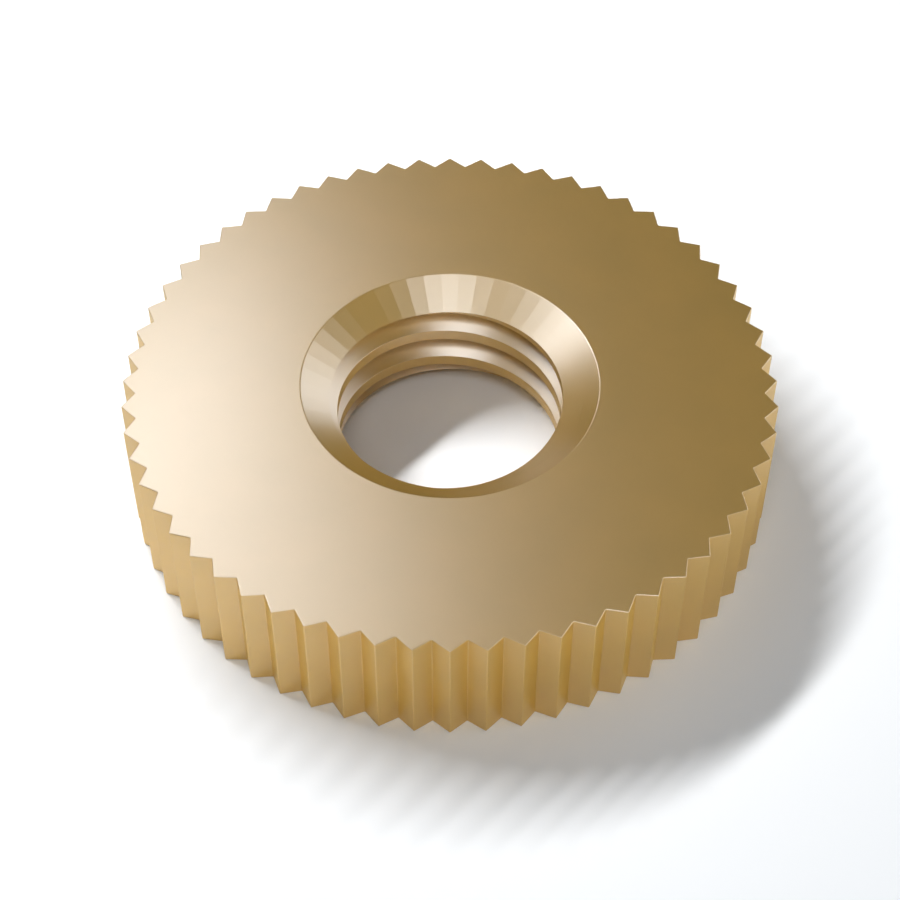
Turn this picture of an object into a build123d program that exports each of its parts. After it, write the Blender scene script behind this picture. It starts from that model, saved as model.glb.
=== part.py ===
"""Knurled thumb nut: a flat brass disc with straight teeth round its rim and a threaded hole.

Millimetres. The nut lies flat on z = 0, and its axis is +Z through the origin.
"""

from build123d import *
from build123d.topology import SkipClean
import os
from math import asin, ceil, cos, degrees, radians, sin, tan

# Disc
tip_diameter = 29.0
thickness = 6.0

# Straight knurl: V teeth parallel to the axis, with a tooth's tip on +X
teeth = 60
tooth_depth = 0.56
tooth_tip_flat = 0.07
tooth_root_flat = 0.07
rim_edge_break = 0.05

# Metric coarse thread, right-handed: the basic form's flanks and depth, with a narrower root
thread_diameter = 12.0
thread_pitch = 1.75
thread_angle = 60.0
thread_root_flat = 0.09
# Height above the bottom face of the groove's middle, where the groove first passes +X
thread_start_height = 0.475

# Countersinks, alike on both faces
countersink_diameter = 13.25
countersink_angle = 120.0
countersink_edge_break = 0.05

# The hole is cut in this many arcs, so that the thread's crest is a row of short strips
hole_arcs = 6

# Tooth outline, with the tip and root flats given by the angle that half of each takes up
tooth_step = 360 / teeth
tip_radius = tip_diameter / 2
root_radius = tip_radius - tooth_depth
tip_half_step = degrees(asin(tooth_tip_flat / 2 / tip_radius))
root_half_step = degrees(asin(tooth_root_flat / 2 / root_radius))

# Thread form: the groove is five eighths as deep as the sharp triangle with its flanks and pitch
thread_radius = thread_diameter / 2
flank_slope = tan(radians(thread_angle / 2))
minor_radius = thread_radius - thread_pitch / 2 / flank_slope * 5 / 8
# The groove's cutter reaches into the open hole, where it is still narrower than the pitch
cutter_width = thread_pitch * 7 / 8
cutter_inner_radius = thread_radius - (cutter_width - thread_root_flat) / 2 / flank_slope
# Whole turns of groove: the first starts below the bottom face, the last ends above the top face
groove_turns = ceil(thickness / thread_pitch) + 2
first_turn_start = thread_start_height - thread_pitch

# Countersink profile, with the rim's edge broken by the same length along the face and the cone
countersink_radius = countersink_diameter / 2
cone_half_angle = radians(countersink_angle / 2)
countersink_depth = (countersink_radius - minor_radius) / tan(cone_half_angle)
break_radius = countersink_radius - countersink_edge_break * sin(cone_half_angle)
break_depth = countersink_edge_break * cos(cone_half_angle)


def polar_point(radius, angle):
    """The point at this radius, and at this angle in degrees from +X."""
    return (radius * cos(radians(angle)), radius * sin(radians(angle)))


# Toothed disc: its lower half, with the bottom face's outer edge just broken, and the same mirrored
with BuildPart() as blank:
    with BuildSketch():
        with BuildLine():
            corners = []
            for tooth in range(teeth):
                tip_angle = tooth * tooth_step
                root_angle = tip_angle + tooth_step / 2
                corners.append(polar_point(tip_radius, tip_angle - tip_half_step))
                corners.append(polar_point(tip_radius, tip_angle + tip_half_step))
                corners.append(polar_point(root_radius, root_angle - root_half_step))
                corners.append(polar_point(root_radius, root_angle + root_half_step))
            Polyline(*corners, close=True)
        make_face()
    extrude(amount=thickness / 2)
    chamfer(blank.faces().sort_by(Axis.Z)[0].edges(), rim_edge_break)
    mirror(about=Plane.XY.offset(thickness / 2))

# One arc of the hole before threading, with a countersink at each end
with BuildPart() as hole_arc:
    with BuildSketch(Plane.XZ):
        with BuildLine():
            Polyline(
                (0, thickness / 2),
                (0, 0),
                (countersink_radius + countersink_edge_break, 0),
                (break_radius, break_depth),
                (minor_radius, countersink_depth),
                (minor_radius, thickness / 2),
                close=True,
            )
        make_face()
        mirror(about=Plane.XZ.offset(-thickness / 2))
    revolve(axis=Axis.Z, revolution_arc=360 / hole_arcs)

# One turn of the thread's groove, which starts and ends over +X
with BuildPart() as groove_turn:
    with BuildLine() as helix:
        Helix(pitch=thread_pitch, height=thread_pitch, radius=thread_radius)
    with BuildSketch(Plane.XZ):
        with BuildLine():
            Polyline(
                (cutter_inner_radius, cutter_width / 2),
                (thread_radius, thread_root_flat / 2),
                (thread_radius, -thread_root_flat / 2),
                (cutter_inner_radius, -cutter_width / 2),
                close=True,
            )
        make_face()
    sweep(path=helix.line, is_frenet=True)

# The nut: the toothed disc with the hole cut and threaded, and the faces of the arcs left unmerged
with BuildPart() as thumb_nut:
    add(blank.part)
    with SkipClean():
        with PolarLocations(0, hole_arcs):
            add(hole_arc.part, mode=Mode.SUBTRACT)
        with Locations(*[(0, 0, first_turn_start + turn * thread_pitch) for turn in range(groove_turns)]):
            add(groove_turn.part, mode=Mode.SUBTRACT)

thumb_nut.part.label = "thumb_nut"
os.makedirs("parts", exist_ok=True)
export_step(thumb_nut.part, "parts/thumb_nut.step")
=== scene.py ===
"""Looks of the knurled thumb nut: a finer mesh of the same nut, satin brass, a pale floor and studio light.

The nut's shape is in millimetres and repeats the sizes of the CAD. The lamps and the camera are in metres.
"""

from math import acos, asin, atan2, cos, floor, hypot, inf, pi, radians, remainder, sin, tan

import bpy
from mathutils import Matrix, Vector


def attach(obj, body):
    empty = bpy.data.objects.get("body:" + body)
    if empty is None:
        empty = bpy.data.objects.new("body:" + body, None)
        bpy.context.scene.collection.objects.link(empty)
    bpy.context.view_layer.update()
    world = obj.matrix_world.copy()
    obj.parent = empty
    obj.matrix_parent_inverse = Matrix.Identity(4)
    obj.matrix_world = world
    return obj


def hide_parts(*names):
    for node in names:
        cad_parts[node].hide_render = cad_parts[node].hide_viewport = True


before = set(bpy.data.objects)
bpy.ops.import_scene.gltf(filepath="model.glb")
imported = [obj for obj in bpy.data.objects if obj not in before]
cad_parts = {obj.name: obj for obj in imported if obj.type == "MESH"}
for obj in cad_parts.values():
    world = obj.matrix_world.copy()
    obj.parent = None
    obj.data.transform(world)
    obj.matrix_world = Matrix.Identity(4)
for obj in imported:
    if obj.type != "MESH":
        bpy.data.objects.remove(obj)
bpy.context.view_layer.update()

MM = 0.001

# Disc and knurl, with tips that stay a micrometre inside the CAD's
TIP_RADIUS = 14.499
THICKNESS = 6.0
TEETH = 60
ROOT_RADIUS = 13.94
TIP_ROUND = 0.055
ROOT_ROUND = 0.05
RIM_EDGE_ROUND = 0.045
HALF_TOOTH = pi / TEETH

# Thread: the groove is five eighths as deep as the sharp triangle with its flanks and pitch. The crest's
# edges are rounded, and the root is one arc between the flanks. The start height is that of the groove's
# middle above the bottom face, where the groove first passes +X
THREAD_RADIUS = 6.0
PITCH = 1.75
ROOT_FLAT = 0.09
START_HEIGHT = 0.475
FLANK_ANGLE = radians(30)
FLANK_LEAN = pi / 2 - FLANK_ANGLE
THREAD_DEPTH = PITCH / 2 / tan(FLANK_ANGLE) * 5 / 8
HALF_MOUTH = ROOT_FLAT / 2 + THREAD_DEPTH * tan(FLANK_ANGLE)
CREST_EDGE_ROUND = 0.03
ROOT_ARC = ROOT_FLAT / 2 / tan(FLANK_ANGLE)

# Countersinks, alike on both faces. Their facets are flattest towards one side of the nut and fade round it
SINK_RADIUS = 6.625
SINK_SLOPE = radians(30)
SINK_EDGE_BREAK = 0.05
SINK_FACETS = 50
FACETS_TOWARDS = radians(115)
FACETS_FADE = 1.5

# Fineness of the mesh: points on each side of a tooth's tip and root, bands up the rim, columns round the
# hole, steps over each small rounding, and rings down the cone, of which the last is in the open hole
TIP_STEPS = 3
ROOT_STEPS = 2
RIM_EDGE_LEANS = (-90, -67.5, -45, -22.5, 0)
RIM_BANDS = 6
COLUMNS = 8 * SINK_FACETS
ROUND_STEPS = 3
CONE_RINGS = (6.3, 5.6, 4.6)

# The thread's core, which is cut out of the disc, starts this many turns below the groove's first pass over
# +X and has this many turns
CORE_TURNS_BELOW = 2
CORE_TURNS = 6

# A point this near the cone is on it, and faces that meet at more than this angle meet in a sharp edge
ON_CONE = 0.004
SHARP_ANGLE = radians(27)


def polar(radius, angle):
    return (radius * cos(angle), radius * sin(angle))


def offset(place, direction, distance):
    return (place[0] + direction[0] * distance, place[1] + direction[1] * distance)


def unit(x, y, z):
    return Vector((x, y, z)).normalized()


def rounded(place):
    """The place to a micrometre, to look it up by."""
    return tuple(round(c, 3) for c in place)


def mesh_object(name, points, faces):
    """A new object in the scene. Its points are given in millimetres."""
    mesh = bpy.data.meshes.new(name)
    mesh.from_pydata([Vector(p) * MM for p in points], [], faces)
    mesh.validate()
    piece = bpy.data.objects.new(name, mesh)
    bpy.context.scene.collection.objects.link(piece)
    return piece


def tooth_outline():
    """Points and outward normals round the rim, counter-clockwise, with the tips and roots rounded."""
    tip_centre = TIP_RADIUS - TIP_ROUND
    root_centre = ROOT_RADIUS + ROOT_ROUND
    across_x = root_centre * cos(HALF_TOOTH) - tip_centre
    across_y = root_centre * sin(HALF_TOOTH)
    flank = atan2(across_y, across_x) - acos((TIP_ROUND + ROOT_ROUND) / hypot(across_x, across_y))
    outline = []
    for tooth in range(TEETH):
        tip = 2 * HALF_TOOTH * tooth
        for step in range(-TIP_STEPS, TIP_STEPS + 1):
            normal = polar(1, tip + flank * step / TIP_STEPS)
            outline.append((offset(polar(tip_centre, tip), normal, TIP_ROUND), normal))
        root = tip + HALF_TOOTH
        for step in range(-ROOT_STEPS, ROOT_STEPS + 1):
            normal = polar(1, root - (flank - HALF_TOOTH) * step / ROOT_STEPS)
            outline.append((offset(polar(root_centre, root), normal, -ROOT_ROUND), normal))
    return outline


def rim_levels():
    """(inset, height, lean) up the rim, from the bottom face's rounded edge to the top face's."""
    bottom_edge = []
    for lean in map(radians, RIM_EDGE_LEANS):
        bottom_edge.append((RIM_EDGE_ROUND * (1 - cos(lean)), RIM_EDGE_ROUND * (1 + sin(lean)), lean))
    between = [(0, THICKNESS * step / RIM_BANDS, 0) for step in range(1, RIM_BANDS)]
    top_edge = [(inset, THICKNESS - height, -lean) for inset, height, lean in reversed(bottom_edge)]
    return bottom_edge + between + top_edge


def sink_profile():
    """(radius, depth, lean) from the flat face over the rounded rim and down the cone into the open hole."""
    round_radius = SINK_EDGE_BREAK / tan(SINK_SLOPE / 2)
    start = SINK_RADIUS + SINK_EDGE_BREAK
    profile = []
    for step in range(ROUND_STEPS + 1):
        lean = SINK_SLOPE * step / ROUND_STEPS
        profile.append((start - round_radius * sin(lean), round_radius * (1 - cos(lean)), lean))
    for radius in CONE_RINGS:
        profile.append((radius, (SINK_RADIUS - radius) * tan(SINK_SLOPE), SINK_SLOPE))
    return profile


def join_rings(faces, rings, count):
    """Quads between each ring of points and the next. A ring is given by the number of its first point."""
    for this, other in zip(rings, rings[1:]):
        for k in range(count):
            after = (k + 1) % count
            faces.append((this + k, this + after, other + after, other + k))


def with_angles(points, ring, count):
    """(number, angle) of each point on a ring."""
    return [(k, atan2(points[k][1], points[k][0]) % (2 * pi)) for k in range(ring, ring + count)]


def fill_between(faces, outer, inner, up):
    """Triangles between two rings of (number, angle), both counter-clockwise from +X."""
    i = j = 0
    while i < len(outer) or j < len(inner):
        a, b = outer[i % len(outer)][0], inner[j % len(inner)][0]
        outer_angle = outer[i][1] if i < len(outer) else inf
        inner_angle = inner[j][1] if j < len(inner) else inf
        if outer_angle <= inner_angle:
            i += 1
            face = (a, outer[i % len(outer)][0], b)
        else:
            j += 1
            face = (a, inner[j % len(inner)][0], b)
        faces.append(face if up else face[::-1])


def toothed_disc():
    """The nut without its thread, and the exact normals at each of its points, by rounded place."""
    points, normals, faces = [], [], []

    # Toothed rim, from the bottom face's edge to the top face's
    outline = tooth_outline()
    rim_rings = []
    for inset, height, lean in rim_levels():
        rim_rings.append(len(points))
        for place, outward in outline:
            points.append((*offset(place, outward, -inset), height))
            normals.append(unit(outward[0] * cos(lean), outward[1] * cos(lean), sin(lean)))
    join_rings(faces, rim_rings, len(outline))

    # Hole, from the top face's rim down both cones to the bottom face's rim
    profile = sink_profile()
    upper = [(radius, THICKNESS - depth, lean, 1) for radius, depth, lean in profile]
    lower = [(radius, depth, lean, -1) for radius, depth, lean in reversed(profile)]
    hole_rings = []
    for radius, height, lean, up in upper + lower:
        hole_rings.append(len(points))
        for column in range(COLUMNS):
            angle = 2 * pi * column / COLUMNS
            points.append((*polar(radius, angle), height))
            normals.append(unit(*polar(-sin(lean), angle), up * cos(lean)))
    join_rings(faces, hole_rings, COLUMNS)

    # Both flat faces. A ring on the rim begins just before +X, so its first points are put last
    for rim, hole, up in ((rim_rings[-1], hole_rings[0], True), (rim_rings[0], hole_rings[-1], False)):
        outer = with_angles(points, rim, len(outline))
        fill_between(faces, outer[TIP_STEPS:] + outer[:TIP_STEPS], with_angles(points, hole, COLUMNS), up)

    known = {}
    for place, normal in zip(points, normals):
        known.setdefault(rounded(place), []).append(normal)
    return mesh_object("disc", points, faces), known


def thread_ribbon():
    """(height, radius) over one pitch of the thread, from the middle of a crest to the middle of the next."""
    minor_radius = THREAD_RADIUS - THREAD_DEPTH
    crest_edge = HALF_MOUTH + CREST_EDGE_ROUND * tan(FLANK_ANGLE)
    half = []
    for step in range(ROUND_STEPS + 1):
        lean = FLANK_LEAN * step / ROUND_STEPS
        half.append((ROOT_ARC * sin(lean), THREAD_RADIUS - ROOT_ARC * (1 - cos(lean))))
    for step in range(ROUND_STEPS + 1):
        lean = FLANK_LEAN * (1 - step / ROUND_STEPS)
        radius = minor_radius + CREST_EDGE_ROUND * (1 - cos(lean))
        half.append((crest_edge - CREST_EDGE_ROUND * sin(lean), radius))
    half.append((PITCH / 2, minor_radius))
    return [(-height, radius) for height, radius in reversed(half[1:])] + half


def thread_core():
    """What the thread leaves open, as a closed screw: its skin is one helical ribbon, a whole pitch wide."""
    ribbon = thread_ribbon()
    across = len(ribbon) - 1
    start = START_HEIGHT - CORE_TURNS_BELOW * PITCH
    count = CORE_TURNS * COLUMNS

    # The ribbon's lower edge is the upper edge of the turn below
    points, index = [], {}
    for t in range(count + 1):
        for k, (height, radius) in enumerate(ribbon):
            if k == 0 and t >= COLUMNS:
                index[t, k] = index[t - COLUMNS, across]
                continue
            index[t, k] = len(points)
            points.append((*polar(radius, 2 * pi * t / COLUMNS), start + PITCH * t / COLUMNS + height))
    faces = []
    for t in range(count):
        for k in range(across):
            faces.append((index[t, k], index[t + 1, k], index[t + 1, k + 1], index[t, k + 1]))

    # Each end is closed to a point on the axis, well outside the nut
    low = [index[t, 0] for t in range(COLUMNS)]
    low += [index[0, k] for k in range(across, 0, -1)]
    high = [index[count - COLUMNS + t, across] for t in range(COLUMNS)]
    high += [index[count, k] for k in range(across, 0, -1)]
    for rim, height, up in ((low, start - 2 * PITCH, False), (high, start + (CORE_TURNS + 2) * PITCH, True)):
        tip = len(points)
        points.append((0, 0, height))
        for this, after in zip(rim, rim[1:] + rim[:1]):
            faces.append((tip, this, after) if up else (tip, after, this))
    return mesh_object("core", points, faces)


def thread_normal(x, y, z):
    """The thread's own normal at a point of it, out of the metal."""
    angle = atan2(y, x)
    height = (z - START_HEIGHT - PITCH * angle / (2 * pi) + PITCH / 2) % PITCH - PITCH / 2
    from_crest_edge = HALF_MOUTH + CREST_EDGE_ROUND * tan(FLANK_ANGLE) - abs(height)
    if abs(height) < ROOT_ARC * sin(FLANK_LEAN):
        lean = asin(abs(height) / ROOT_ARC)
    elif from_crest_edge >= CREST_EDGE_ROUND * sin(FLANK_LEAN):
        lean = FLANK_LEAN
    else:
        lean = asin(max(0, from_crest_edge) / CREST_EDGE_ROUND)
    slope = -tan(lean) if height > 0 else tan(lean)
    along = -PITCH * slope / (2 * pi * hypot(x, y))
    return unit(-cos(angle) - along * sin(angle), -sin(angle) + along * cos(angle), slope)


def cone_normal(angle, facet_middle, up):
    """The countersink's normal at an angle, turned towards that of the facet's middle where facets show."""
    flatness = min(1, max(0, FACETS_FADE * cos(facet_middle - FACETS_TOWARDS)))
    own = facet_middle + remainder(angle - facet_middle, 2 * pi)
    turn = own + flatness * (facet_middle - own)
    return unit(-cos(turn) * sin(SINK_SLOPE), -sin(turn) * sin(SINK_SLOPE), up * cos(SINK_SLOPE))


def exact_normals(mesh, known):
    """One normal for each corner of each face: of all that the point may have, the nearest to the face's."""
    facet = 2 * pi / SINK_FACETS
    normals = []
    for face in mesh.polygons:
        facet_middle = (floor(atan2(face.center.y, face.center.x) / facet) + 0.5) * facet
        for corner in face.loop_indices:
            place = mesh.vertices[mesh.loops[corner].vertex_index].co / MM
            x, y, z = place
            choices = list(known.get(rounded(place), ()))
            if hypot(x, y) < SINK_RADIUS:
                cone_depth = (SINK_RADIUS - hypot(x, y)) * tan(SINK_SLOPE)
                for depth, up in ((THICKNESS - z, 1), (z, -1)):
                    if abs(cone_depth - depth) < ON_CONE:
                        choices = [cone_normal(atan2(y, x), facet_middle, up)]
                choices.append(thread_normal(x, y, z))
            normals.append(max(choices, key=face.normal.dot) if choices else face.normal)
    return normals


# Nut: the disc with the thread's core cut out of it
nut, known_normals = toothed_disc()
core = thread_core()
cut = nut.modifiers.new("thread", "BOOLEAN")
cut.operation = "DIFFERENCE"
cut.solver = "EXACT"
cut.object = core
bpy.context.view_layer.update()
threaded = bpy.data.meshes.new_from_object(nut.evaluated_get(bpy.context.evaluated_depsgraph_get()))
nut.modifiers.clear()
nut.data = threaded
bpy.data.objects.remove(core)
nut.name = "brass_nut"
threaded.name = "brass_nut"
threaded.polygons.foreach_set("use_smooth", [True] * len(threaded.polygons))
threaded.set_sharp_from_angle(angle=SHARP_ANGLE)
threaded.normals_split_custom_set(exact_normals(threaded, known_normals))
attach(nut, "root")
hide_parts("thumb_nut")


def set_inputs(tree, node, inputs):
    """Sets each input to its value, or links it where that is another node's output."""
    for name, value in inputs.items():
        if isinstance(value, bpy.types.NodeSocket):
            tree.links.new(value, node.inputs[name])
        else:
            node.inputs[name].default_value = value


def new_node(tree, kind, inputs):
    node = tree.nodes.new(kind)
    set_inputs(tree, node, inputs)
    return node


def satin_brass():
    """Brass under a clear coat with a faint mottle. The coat is strongest on faces that lie level."""
    brass = bpy.data.materials.new("satin brass")
    brass.use_nodes = True
    tree = brass.node_tree
    place = tree.nodes.new("ShaderNodeTexCoord").outputs

    mottle_inputs = {"Vector": place["Object"], "Scale": 350.0, "Detail": 3.0}
    mottle = new_node(tree, "ShaderNodeTexNoise", mottle_inputs).outputs["Fac"]
    tone = new_node(tree, "ShaderNodeValToRGB", {"Fac": mottle})
    deep, pale = tone.color_ramp.elements
    deep.position, deep.color = 0.3, (0.64, 0.40, 0.05, 1)
    pale.position, pale.color = 0.7, (0.69, 0.43, 0.06, 1)
    grain = new_node(tree, "ShaderNodeMapRange", {"Value": mottle, "To Min": 0.62, "To Max": 0.68})

    facing = new_node(tree, "ShaderNodeSeparateXYZ", {"Vector": place["Normal"]})
    level = new_node(tree, "ShaderNodeMath", {0: facing.outputs["Z"]})
    level.operation = "ABSOLUTE"
    coat_inputs = {"From Min": 0.2, "From Max": 0.7, "To Min": 0.5, "To Max": 1.0}
    coat = new_node(tree, "ShaderNodeMapRange", {"Value": level.outputs["Value"], **coat_inputs})

    set_inputs(tree, tree.nodes["Principled BSDF"], {
        "Base Color": tone.outputs["Color"],
        "Metallic": 1.0,
        "Roughness": grain.outputs["Result"],
        "Coat Weight": coat.outputs["Result"],
        "Coat Roughness": 0.3,
        "Coat IOR": 3.8,
    })
    return brass


def pale_floor():
    """A matt floor that the camera and reflections see turn plain white away from the nut and its shadow."""
    paper = bpy.data.materials.new("pale floor")
    paper.use_nodes = True
    paper.cycles.emission_sampling = "NONE"
    tree = paper.node_tree
    matt = tree.nodes["Principled BSDF"]
    matt_inputs = {"Base Color": (0.935, 0.955, 0.975, 1), "Roughness": 1.0, "Specular IOR Level": 0.0}
    set_inputs(tree, matt, matt_inputs)

    ray = tree.nodes.new("ShaderNodeLightPath").outputs
    direct = new_node(tree, "ShaderNodeMath", {0: ray["Is Camera Ray"], 1: ray["Is Glossy Ray"]})
    direct.operation = "ADD"
    seen = new_node(tree, "ShaderNodeMath", {0: direct.outputs["Value"], 1: ray["Is Transmission Ray"]})
    seen.operation = "ADD"
    seen.use_clamp = True

    place = tree.nodes.new("ShaderNodeTexCoord").outputs["Object"]
    distance = new_node(tree, "ShaderNodeVectorMath", {0: place})
    distance.operation = "LENGTH"
    fade_inputs = {"Value": distance.outputs["Value"], "From Min": 0.025, "From Max": 0.085}
    fade = new_node(tree, "ShaderNodeMapRange", fade_inputs)
    fade.interpolation_type = "SMOOTHSTEP"

    whiteness = new_node(tree, "ShaderNodeMath", {0: seen.outputs["Value"], 1: fade.outputs["Result"]})
    whiteness.operation = "MULTIPLY"
    white = tree.nodes.new("ShaderNodeEmission").outputs["Emission"]
    blend_inputs = {"Fac": whiteness.outputs["Value"], 1: matt.outputs["BSDF"], 2: white}
    blend = new_node(tree, "ShaderNodeMixShader", blend_inputs)
    set_inputs(tree, tree.nodes["Material Output"], {"Surface": blend.outputs["Shader"]})
    return paper


threaded.materials.clear()
threaded.materials.append(satin_brass())

# Floor, just under the nut. Its reach and drop are in millimetres
FLOOR_REACH = 8000
FLOOR_DROP = 0.01
floor_corners = [(-1, -1), (1, -1), (1, 1), (-1, 1)]
floor_points = [(x * FLOOR_REACH, y * FLOOR_REACH, -FLOOR_DROP) for x, y in floor_corners]
ground = mesh_object("floor", floor_points, [(0, 1, 2, 3)])
ground.data.materials.append(pale_floor())

# World: a trace of white light from all sides
world = bpy.data.worlds.new("studio")
bpy.context.scene.world = world
world.use_nodes = True
set_inputs(world.node_tree, world.node_tree.nodes["Background"], {"Color": (1, 1, 1, 1), "Strength": 0.02})


def soft_box(name, azimuth, elevation, distance, wide, high, brightness):
    """A rectangular lamp that faces the nut. Its width is level, angles are in degrees, lengths in metres."""
    data = bpy.data.lights.new(name, "AREA")
    data.shape = "RECTANGLE"
    data.size = wide
    data.size_y = high
    data.energy = brightness * pi * wide * high
    lamp = bpy.data.objects.new(name, data)
    a, e = radians(azimuth), radians(elevation)
    lamp.location = Vector((cos(a) * cos(e), sin(a) * cos(e), sin(e))) * distance
    lamp.rotation_euler = (pi / 2 - e, 0, a + pi / 2)
    bpy.context.scene.collection.objects.link(lamp)
    return lamp


# Each lamp is given by its azimuth, elevation, distance, width, height and brightness.
# The key is a narrow box close to the nut. It draws the shadow, and the metal reflects the near cards instead
KEY = (137, 53.5, 0.14, 0.102, 0.007, 101)

# The fills light both the nut and the floor. They are a little cool, to make up for the warm light that the
# brass throws on the floor
FILL_COLOUR = (0.94, 0.97, 1)
FILLS = {
    "front": (270, 62, 3, 1.5, 1.0, 3.7),
    "low_front": (270, 15, 3, 2.4, 1.0, 2.25),
    "low_right": (45, 20, 3, 1.5, 1.0, 2.2),
    "low_side": (0, 20, 3, 1.8, 1.2, 3.1),
    "high_left": (180, 62, 3, 1.5, 1.0, 0.62),
}

# Cards that only the metal reflects
CARDS = {
    "near_card": (135, 53.3, 0.15, 0.112, 0.0134, 5.75),
    "near_high_card": (135, 64, 0.15, 0.109, 0.02, 3.0),
    "near_back_card": (108, 45, 0.15, 0.03, 0.03, 1.7),
    "front_card": (270, 62, 3.2, 1.6, 1.07, 1.8),
    "back_card": (140, 48, 3, 1.0, 0.8, 4.95),
    "right_card": (30, 34, 3, 1.3, 0.9, 1.25),
    "low_right_card": (320, 14, 3, 2.4, 1.4, 0.65),
}

soft_box("key", *KEY).visible_glossy = False
for name, values in FILLS.items():
    soft_box(name, *values).data.color = FILL_COLOUR
for name, values in CARDS.items():
    soft_box(name, *values).visible_diffuse = False

# Camera, fitted to the photograph's outline of the rim. It looks along +Y, 39.8 degrees off straight down
camera = bpy.data.objects.new("camera", bpy.data.cameras.new("camera"))
camera.data.lens = 84.6
camera.data.sensor_width = 36
camera.data.clip_start = 0.005
camera.location = (0, -0.06237, 0.07605)
camera.rotation_euler = (radians(39.804), 0, 0)
bpy.context.scene.collection.objects.link(camera)
bpy.context.scene.camera = camera

bpy.context.scene.view_settings.view_transform = "Standard"

bpy.context.view_layer.update()
